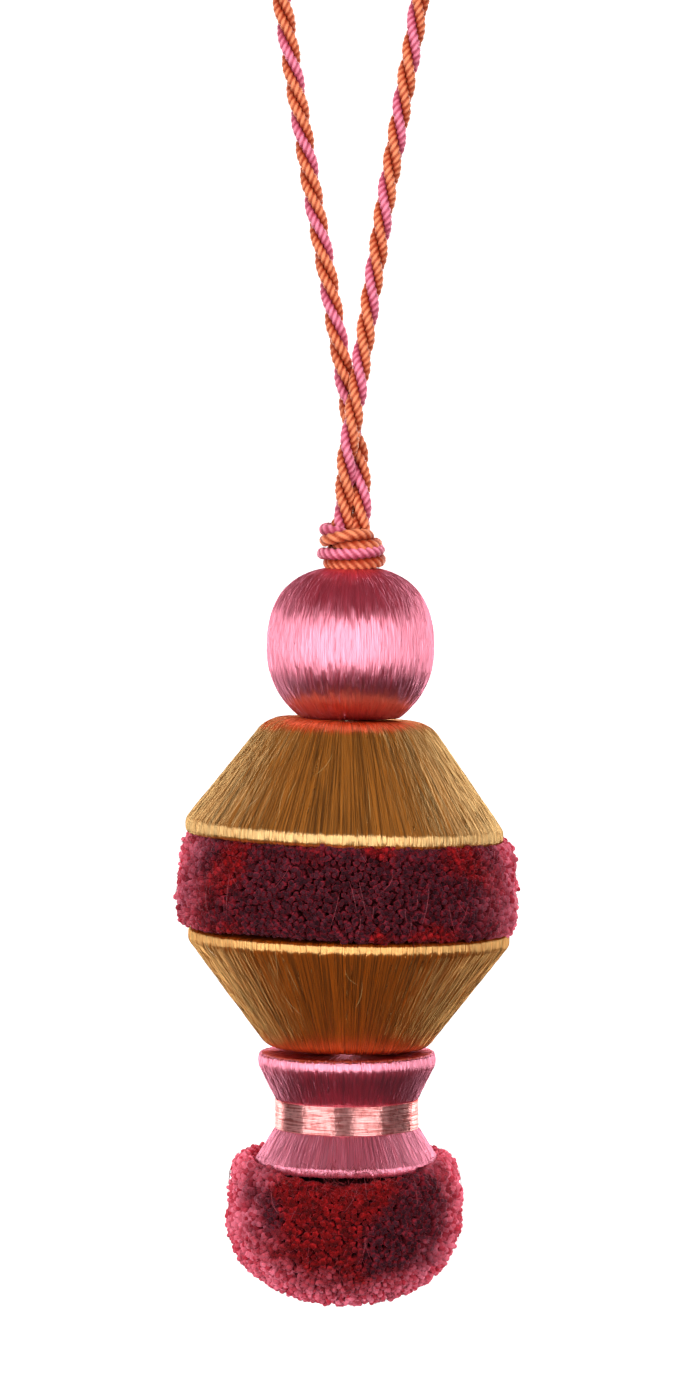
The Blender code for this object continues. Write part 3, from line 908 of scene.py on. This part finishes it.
def tufts(name, outline, mould, length, lean_out, dip, spacing, spots, seed):
    """All the tufts of a pile in one mesh, with the outline as the surface of their tips, and its
    top edge pressed down in front by the dip. lean_out says by height how far they lean upwards.

    A point of a tuft is its root, plus its direction times the ring's share of its length, plus
    the ring's radius round that direction, plus a lean that grows with the square of the share."""
    dice = np.random.default_rng(seed)
    angle, r, z, out_r, out_z = tuft_places(outline, spacing, dice).T
    count = len(angle)
    flat = flat_directions(angle)
    out = in_space(flat, out_r, out_z)
    lumps = waves(in_space(flat, r, z), 12, (1.9, 3.4), seed) / 12**0.5
    lumps += 0.6 * waves(in_space(flat, r, z), 6, (8.0, 16.0), seed + 1) / 6**0.5
    z = z - dip * np.clip(-np.sin(angle), 0, 1) ** 2 * np.clip(z / 8.0, 0, 1)
    tip = in_space(flat, r, z)
    reach = 0.34 * lumps + dice.normal(0, 0.12, count)
    lean = dice.normal(0, 0.13, (count, 3)) + lean_out(z)[:, None] * UP
    away = unit(out + lean - 0.4 * out * (lean * out).sum(1)[:, None])
    root = tip - out * length
    full = length + reach
    side = unit(np.cross(away, UP + 0.01 * flat))
    over = np.cross(side, away)
    width = spacing * dice.uniform(0.56, 0.70, count)
    spin = dice.uniform(0, math.tau, count)
    around = math.tau * np.arange(TUFT_SIDES) / TUFT_SIDES
    rings = []
    for share, size in TUFT_RINGS:
        turn = spin[:, None] + around[None, :]
        ragged = width[:, None] * size * dice.uniform(0.82, 1.18, (count, TUFT_SIDES))
        across = np.cos(turn)[..., None] * side[:, None] + np.sin(turn)[..., None] * over[:, None]
        middle = root + (out * (1 - share) + away * share) * (full * share)[:, None]
        rings.append(middle[:, None] + across * ragged[..., None])
    top = (root + away * full[:, None])[:, None]
    points = np.concatenate([*rings, top], axis=1)
    size = points.shape[1]
    quads = grid_quads(len(TUFT_RINGS), TUFT_SIDES, outward_rows=False)
    cap = end_fan((len(TUFT_RINGS) - 1) * TUFT_SIDES + np.arange(TUFT_SIDES), size - 1, forward=True)
    start = np.arange(count)[:, None, None] * size
    share = np.append(np.repeat([s for s, _ in TUFT_RINGS], TUFT_SIDES), 1.0)
    placed = stand(points.reshape(-1, 3), mould)
    values = {
        "tip": np.broadcast_to(share, (count, size)),
        "shade": np.repeat(dice.uniform(0, 1, count), size),
        "red": np.repeat(patches(stand(tip, mould), spots), size),
    }
    return new_piece(
        name, placed * MM, (start + quads).reshape(-1, 4), (start + cap).reshape(-1, 3), values
    )


BAND = {"x": -0.1, "z": -182.5, "tilt": 1.8}
BAND_OUTLINE = np.array(
    [(27.4, 9.0), (28.7, 9.0), (29.7, 7.8), (30.2, 4.5), (30.6, 1.0)]
    + [(30.8, -2.5), (30.7, -5.0), (30.3, -6.4), (29.4, -7.2), (27.6, -7.4)],
    float,
)
BAND_SPOTS = (
    (-16.5, -176.2, 5.0, 0.35),
    (-6.8, -176.4, 4.0, 0.55),
    (5.0, -176.2, 4.0, 0.5),
    (17.0, -177.0, 5.0, 0.3),
    (5.5, -189.4, 2.4, 0.8),
    (14.0, -188.8, 3.5, 0.7),
    (-9.0, -184.5, 10.0, -1.2),
    (8.0, -183.0, 7.5, -1.2),
    (20.0, -183.0, 6.0, -0.5),
)
POMPOM = {"x": -0.8, "z": -240.3, "tilt": 0.0}
POMPOM_SQUARENESS = 2.25
POMPOM_RADIUS = 21.2
POMPOM_DEPTH = 17.6
POMPOM_SPOTS = (
    (-3.0, -235.5, 8.0, 0.7),
    (-5.0, -247.0, 8.0, 0.5),
    (9.6, -241.0, 5.5, -1.0),
    (-15.5, -239.8, 3.5, -0.7),
)


def pompom_outline():
    """A rounded shoulder, then |r|^p + |z|^p is constant, which is fuller than an ellipse."""
    angles = np.radians(np.arange(0, 90, 6))
    power = 2 / POMPOM_SQUARENESS
    shoulder = [(15.6, 8.0), (17.4, 9.5), (19.3, 9.2), (20.6, 6.8), (21.1, 3.2)]
    across = POMPOM_RADIUS * np.cos(angles) ** power
    bowl = np.stack([across, -POMPOM_DEPTH * np.sin(angles) ** power], axis=1)
    return np.array([*shoulder, *bowl, (0.4, -POMPOM_DEPTH)], float)


POMPOM_OUTLINE = pompom_outline()

TUFT_LENGTH = {"band": 3.0, "pompom": 3.2}
POMPOM_DIP = 3.2
POMPOM_SPACING = 1.05 * TUFT_SPACING


def band_lean(z):
    return 0.25 * (z / 8.5) ** 3


def pompom_lean(z):
    return 0.25 * np.clip(z / 9.0, 0, 1)


band_pile = tufts(
    "band_pile", BAND_OUTLINE, BAND, TUFT_LENGTH["band"], band_lean, 0.0, TUFT_SPACING, BAND_SPOTS, 11
)
pompom_pile = tufts(
    "pompom_pile", POMPOM_OUTLINE, POMPOM, TUFT_LENGTH["pompom"], pompom_lean,
    POMPOM_DIP, POMPOM_SPACING, POMPOM_SPOTS, 12
)


# %% [markdown]
# ## Under the pile
# Between the tufts there has to be something dark, or the light would pass right through. A plain
# turned core in the same yarn fills the inside, coloured darker than the yarn as painted shade deep
# in the pile. It is made with the same covered mould as before, with a very low relief.

# %% The cores of the pile
BAND_CORE = ((28.3, 8.1, 1.5), (28.3, -7.2, 1.5))
POMPOM_CORE = ((16.6, 5.6, 2.0), (18.9, -1.0, 4.0), (16.3, -10.0, 7.0), (8.0, -15.0, 4.0))
band_core = covered_mould("band_core", cornered_outline(BAND_CORE), BAND, 48, 96, 0.05, 31)
pompom_core = covered_mould("pompom_core", cornered_outline(POMPOM_CORE), POMPOM, 36, 72, 0.05, 32)

# %% [markdown]
# ## The pile's finish
# Cut yarn is dark when the eye looks down into it and pale where it is seen from the side, because
# the light then passes through the fibres' tips. A sheen lobe, a little light let under the
# surface and a velvet colour mixed in by the way the pile stands do that, and the colour is painted
# too: painted shade on the cut ends and deep between the tufts, painted light on the tufts' sides
# near their ends. The yarn is dyed unevenly, from plum to blood red, in soft patches and from tuft
# to tuft.


# %% The pile's finish
def pile_finish(name, mould, lean, flatness, low, high):
    """Painted shade at the cut end and in the depth, painted light on the sides of a tuft near its
    end. The velvet takes the pile to stand away from a point: lean is how far to the right of the
    mould's middle that lies, in millimetres, and flatness is how much the height counts. Low and
    high are where the velvet starts and is complete. A point to the right of the middle makes the
    velvet sheen broader on the left side."""
    finish = Finish(name)
    tip = finish.attribute("tip")
    shade = finish.attribute("shade")
    red = finish.attribute("red")
    fibres = finish.noise(finish.place(), 3200.0, detail=2.0, roughness=0.7)
    flock = finish.noise(finish.place(), 700.0, detail=2.0)
    dyed = finish.ease(red + (flock - 0.5) * 0.6, 0.30, 0.75)
    # The cut-end colours are painted shade and the brighter side colours painted light, on the same
    # yarn.
    plum_end_shaded = finish.blend(shade, (0.014, 0.002, 0.004), (0.060, 0.011, 0.018))
    red_end_shaded = finish.blend(shade, (0.045, 0.0006, 0.0006), (0.175, 0.002, 0.0025))
    plum_side_lit = finish.blend(shade, (0.055, 0.002, 0.005), (0.18, 0.012, 0.022))
    red_side_lit = finish.blend(shade, (0.10, 0.001, 0.002), (0.36, 0.010, 0.012))
    end = finish.blend(dyed, plum_end_shaded, red_end_shaded)
    side = finish.blend(dyed, plum_side_lit, red_side_lit)
    cut = finish.ease(tip + (fibres - 0.5) * 0.06, 0.90, 0.97)
    # Painted shade: the tuft darkens towards its root, deep in the pile.
    height = finish.ease(tip + (fibres - 0.5) * 0.2, 0.45, 0.90)
    colour = finish.blend(height, (0.030, 0.001, 0.002), finish.blend(cut, side, end))
    finish.set(Base_Color=colour, Roughness=0.85, Specular_IOR_Level=0.1)
    finish.set(Sheen_Weight=0.22, Sheen_Roughness=0.38, Sheen_Tint=(1.0, 0.22, 0.32, 1.0))
    finish.set(Subsurface_Weight=0.4, Subsurface_Radius=(1.0, 0.2, 0.28), Subsurface_Scale=1.0 * MM)
    finish.bump(fibres, 0.08 * MM, 0.7)
    x, y, z = finish.part_of(finish.place())
    pile_out = finish.vector(x - (mould["x"] + lean) * MM, y, (z - mould["z"] * MM) * flatness)
    nap = finish.noise(finish.place(), 240.0, detail=2.0)
    pale = finish.blend(shade, (0.62, 0.040, 0.070), (1.0, 0.280, 0.390))
    finish.velvet(pale, pile_out, (nap - 0.5) * 0.5, low, high, 0.95)
    return finish


def core_finish():
    finish = Finish("burgundy_core_painted_shade")
    fibres = finish.noise(finish.place(), 900.0, detail=2.0)
    # The core's dark colour is painted shade deep in the pile.
    colour = finish.blend(fibres, (0.055, 0.005, 0.008), (0.110, 0.010, 0.015))
    finish.set(Base_Color=colour, Roughness=0.95, Specular_IOR_Level=0.1)
    return finish


band_yarn = pile_finish("burgundy_band", BAND, -0.8, 0.0, 0.36, 1.12)
pompom_yarn = pile_finish("burgundy_pompom", POMPOM, 4.0, 1.5, 0.27, 0.86)
ground = core_finish()
dress(band_pile, band_yarn, "pile", "pile_band")
dress(pompom_pile, pompom_yarn, "pile", "pompom")
dress(band_core, ground, "pile")
dress(pompom_core, ground, "pile")

# %% [markdown]
# ## Stray fibres
# A few broken filaments lie across the silk and stand off the pile. They are hair-thin tubes with
# three sides, each along an arc over the surface, and they stop the moulds from looking machined.


# %% Stray fibres
HAIR_SIDES = 3


def thin_tubes(name, lines, beside, radius, mould):
    """A thin tube along each row of points in lines, with a radius for each point of a row.
    Beside is any direction that the lines don't run along."""
    count, steps = lines.shape[:2]
    forward = unit(np.gradient(lines, axis=1))
    across = unit(np.cross(forward, beside))
    over = np.cross(forward, across)
    around = (math.tau * np.arange(HAIR_SIDES) / HAIR_SIDES)[:, None]
    ring = np.cos(around) * across[:, :, None] + np.sin(around) * over[:, :, None]
    points = lines[:, :, None] + ring * radius[:, None, None]
    size = steps * HAIR_SIDES
    quads = grid_quads(steps, HAIR_SIDES, outward_rows=False)
    caps = np.array([(0, 2, 1), (size - 3, size - 2, size - 1)])
    first = np.arange(count)[:, None, None] * size
    placed = stand(points.reshape(-1, 3), mould) * MM
    return new_piece(name, placed, (first + quads).reshape(-1, 4), (first + caps).reshape(-1, 3))


def strays(name, outline, mould, count, lift, seed):
    """Thin tubes over an outline. Each goes a few millimetres down it and a few degrees round,
    and bows away from the surface by the lift in its middle."""
    dice = np.random.default_rng(seed)
    side = outline[outline[:, 0] > 0.6 * outline[:, 0].max()]
    along = distance_along(side)
    out = outline_normals(side)
    share = np.linspace(0, 1, 9)
    start = dice.uniform(0.0, 0.7, (count, 1)) * along[-1]
    place = np.clip(start + share * dice.uniform(2.0, 9.0, (count, 1)), 0, along[-1])
    bow = lift * (0.12 + dice.uniform(0.2, 1.0, (count, 1)) * np.sin(math.pi * share))
    r = np.interp(place, along, side[:, 0]) + bow * np.interp(place, along, out[:, 0])
    z = np.interp(place, along, side[:, 1]) + bow * np.interp(place, along, out[:, 1])
    drift = dice.normal(0, 0.05, (count, 1)) * share + dice.normal(0, 0.06, (count, 1)) * share**2
    angle = dice.uniform(0, math.tau, (count, 1)) + drift
    lines = np.stack([r * np.cos(angle), r * np.sin(angle), z], axis=-1)
    radius = 0.035 * np.clip(4 * np.minimum(share, 1 - share), 0.2, 1.0)
    return thin_tubes(name, lines, flat_directions(angle), radius, mould)


def hair_finish(name, colour):
    finish = Finish(name)
    shade = finish.noise(finish.place(), 120.0)
    finish.set(Base_Color=finish.blend(shade, [0.6 * c for c in colour], colour), Roughness=0.4)
    return finish


def fuzz(name, outline, mould, count, spots, seed):
    """Opened ends of yarn: short thin tubes that stand out of the pile and curl over. They grow
    more often where the yarn is dyed red."""
    dice = np.random.default_rng(seed)
    angle, r, z, out_r, out_z = tuft_places(outline, 0.5, dice).T
    flat = flat_directions(angle)
    tip = in_space(flat, r, z)
    red = patches(stand(tip, mould), spots)
    chance = (0.15 + red**2) * dice.uniform(0, 1, len(red))
    chosen = np.argsort(-chance)[:count]
    out = in_space(flat, out_r, out_z)[chosen]
    start = tip[chosen] - 0.8 * out
    heading = unit(out + dice.normal(0, 0.75, (count, 3)))
    curl = dice.normal(0, 0.9, (count, 3))
    share = np.linspace(0, 1, 3)[:, None]
    length = dice.uniform(0.8, 1.5, (count, 1, 1))
    lines = start[:, None] + length * (share * heading[:, None] + 0.4 * share**2 * curl[:, None])
    radius = 0.045 * (1 - 0.6 * share[:, 0])
    return thin_tubes(name, lines, out[:, None] + (0.01, 0.02, 0.03), radius, mould)


pink_hair = hair_finish("pink_filament", (0.75, 0.22, 0.32))
gold_hair = hair_finish("gold_filament", (0.75, 0.48, 0.18))
red_hair = hair_finish("burgundy_filament", (0.35, 0.04, 0.06))
fuzz_hair = hair_finish("burgundy_fuzz", (0.30, 0.016, 0.022))
dress(fuzz("band_fuzz", BAND_OUTLINE, BAND, 2200, BAND_SPOTS, 61), fuzz_hair, "pile")
dress(fuzz("pompom_fuzz", POMPOM_OUTLINE, POMPOM, 2000, POMPOM_SPOTS, 62), fuzz_hair, "pile")
STRAYS = (
    ("ball_strays", outlines["ball"], MOULDS["ball"], 26, 0.25, pink_hair, "satin_pink"),
    ("upper_strays", outlines["upper_cone"], MOULDS["upper_cone"], 40, 0.35, gold_hair, "satin_gold"),
    ("lower_strays", outlines["lower_cone"], MOULDS["lower_cone"], 34, 0.35, gold_hair, "satin_gold"),
    ("band_strays", BAND_OUTLINE, BAND, 60, 0.4, red_hair, "pile"),
    ("pompom_strays", POMPOM_OUTLINE, POMPOM, 60, 0.4, red_hair, "pile"),
)
for number, (name, outline, mould, count, lift, finish, slot) in enumerate(STRAYS):
    dress(strays(name, outline, mould, count, lift, 50 + number), finish, slot)

# %% [markdown]
# ## Studio
# The tassel hangs in front of a white sweep: a floor well below it that curves up into a wall. Two
# wide soft lights stand at its own height, left and right of the camera, so upright surfaces are
# the bright ones. Two more behind it light its rims, one below and behind it lights the foot, and
# one above lights the tops but leaves no gloss. The room is dim, which keeps the silk's shadows
# deep.


# %% The sweep
def sweep():
    """A floor, a quarter circle and a wall as one profile, carried straight across."""
    floor_z, wall_y, bend = -0.75, 2.2, 0.8
    angles = np.linspace(0, math.pi / 2, 16)
    y = wall_y - bend + bend * np.sin(angles)
    z = floor_z + bend * (1 - np.cos(angles))
    curve = np.stack([y, z], axis=1)
    profile = np.concatenate([[(-2.2, floor_z)], curve, [(wall_y, 2.4)]])
    x = np.array((-3.5, 3.5))
    sides = [x + 0 * profile[:, :1], profile[:, :1] + 0 * x, profile[:, 1:] + 0 * x]
    points = np.stack(sides, axis=-1)
    row = np.arange(len(profile) - 1)[:, None] * 2
    quads = np.concatenate([row, row + 1, row + 3, row + 2], axis=1)
    return new_piece("sweep", points.reshape(-1, 3), quads)


paper = Finish("white_paper")
paper.set(Base_Color=(0.9, 0.9, 0.9, 1.0), Roughness=0.9, Specular_IOR_Level=0.1)
paper.set(Emission_Color=(1.0, 1.0, 1.0, 1.0), Emission_Strength=1.1)
backdrop = sweep()
backdrop.data.materials.append(paper.material)
backdrop.visible_diffuse = False
backdrop.visible_glossy = False


# %% The lights
def soft_light(name, azimuth, height, distance, width, tall, power):
    """A rectangular light that faces the tassel. Azimuth 0 is the camera's side, + is to its right."""
    data = bpy.data.lights.new(name, "AREA")
    data.shape = "RECTANGLE"
    data.size = width
    data.size_y = tall
    data.energy = power
    light = bpy.data.objects.new(name, data)
    turn = math.radians(azimuth)
    light.location = (
        distance * math.sin(turn),
        -distance * math.cos(turn),
        PICTURE_MIDDLE_Z + height,
    )
    light.rotation_euler = (math.pi / 2 - math.atan2(height, distance), 0.0, turn)
    bpy.context.scene.collection.objects.link(light)


# Columns: name, azimuth, height, distance, width, tall, power.
LIGHTS = (
    ("left_light", -46, 0.05, 1.0, 1.0, 0.80, 10.6),
    ("right_light", 33, 0.05, 1.0, 0.85, 0.80, 8.8),
    ("left_rim_light", -160, 0.0, 0.6, 0.7, 0.8, 7.5),
    ("right_rim_light", 152, 0.08, 0.7, 0.7, 0.8, 8.5),
    ("back_light", 180, -0.5, 0.7, 1.2, 0.6, 8.0),
    ("top_light", 10, 1.0, 0.5, 0.8, 0.6, 7.0),
)
for row in LIGHTS:
    soft_light(*row)
bpy.data.objects["top_light"].visible_glossy = False

world = bpy.data.worlds.new("room")
world.use_nodes = True
world.node_tree.nodes["Background"].inputs["Color"].default_value = (0.05, 0.05, 0.051, 1.0)
bpy.context.scene.world = world
bpy.context.scene.view_settings.view_transform = "Standard"

# %% [markdown]
# ## Update

# %% Update
bpy.context.view_layer.update()
